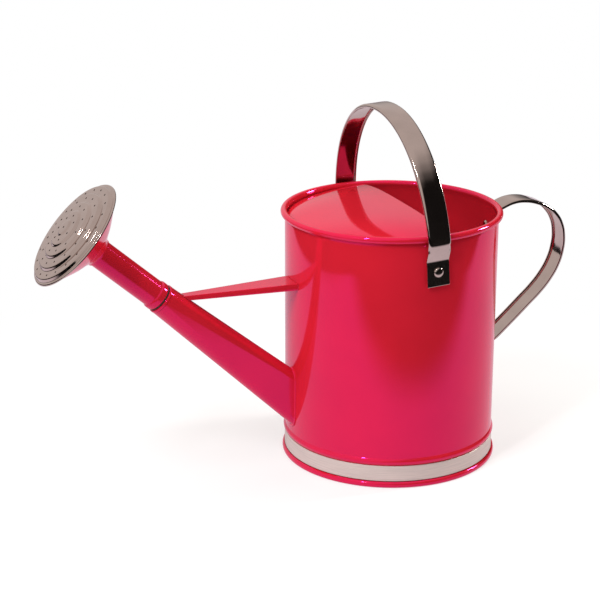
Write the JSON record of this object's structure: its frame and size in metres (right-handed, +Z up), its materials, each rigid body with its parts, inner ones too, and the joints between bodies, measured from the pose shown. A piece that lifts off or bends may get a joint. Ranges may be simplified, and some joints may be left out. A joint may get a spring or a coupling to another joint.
{
  "type": "watering can",
  "caption": "Round sheet-metal watering can with half hood, braced spout, turning pull-off rose, pivoting carry handle and rear loop handle.",
  "frame": {"origin": "on the floor under the middle of the whole can's box", "axes": "+X from the spout to the rear handle, +Y across the can along the carry handle's rivets, +Z up"},
  "size_m": [0.4684, 0.1968, 0.3051],
  "materials": {
    "pink_paint": "glossy powder-coated enamel",
    "bright_nickel": "polished warm nickel plate",
    "brushed_band": "matt brushed metal",
    "plain_steel": "bare zinc-coated steel",
    "dark_rubber": "matt"
  },
  "bodies": {
    "can": {"body_shell": "pink_paint", "rim_wire": "plain_steel", "base_pan": "pink_paint", "base_band": "brushed_band", "hood": "pink_paint", "spout_brace": "pink_paint", "rear_handle": "bright_nickel", "spout_cone": "pink_paint", "spout_ferrule": "pink_paint", "carry_rivet_near": "bright_nickel", "carry_rivet_far": "bright_nickel", "carry_washer_near": "plain_steel", "carry_washer_far": "plain_steel", "rear_rivet_upper": "bright_nickel", "rear_rivet_lower": "bright_nickel"},
    "carry": {"carry_handle": "bright_nickel"},
    "seal": {"seal_ring": "dark_rubber"},
    "rose": {"rose_tube": "pink_paint", "rose_shell": "pink_paint", "rose_face": "bright_nickel"}
  },
  "joints": [
    {"name": "carry_swing", "type": "hinge", "parent": "can", "child": "carry", "pos_m": [0.0709, 0, 0.1865], "axis": [0, 1, 0], "range_deg": [-90, 73]},
    {"name": "rose_pull", "type": "slide", "parent": "can", "child": "seal", "axis": [-0.7495, 0, 0.662], "range_m": [0, 0.03]},
    {"name": "rose_turn", "type": "hinge", "parent": "seal", "child": "rose", "pos_m": [-0.13437, 0, 0.16108], "axis": [-0.7495, 0, 0.662], "continuous": true}
  ]
}
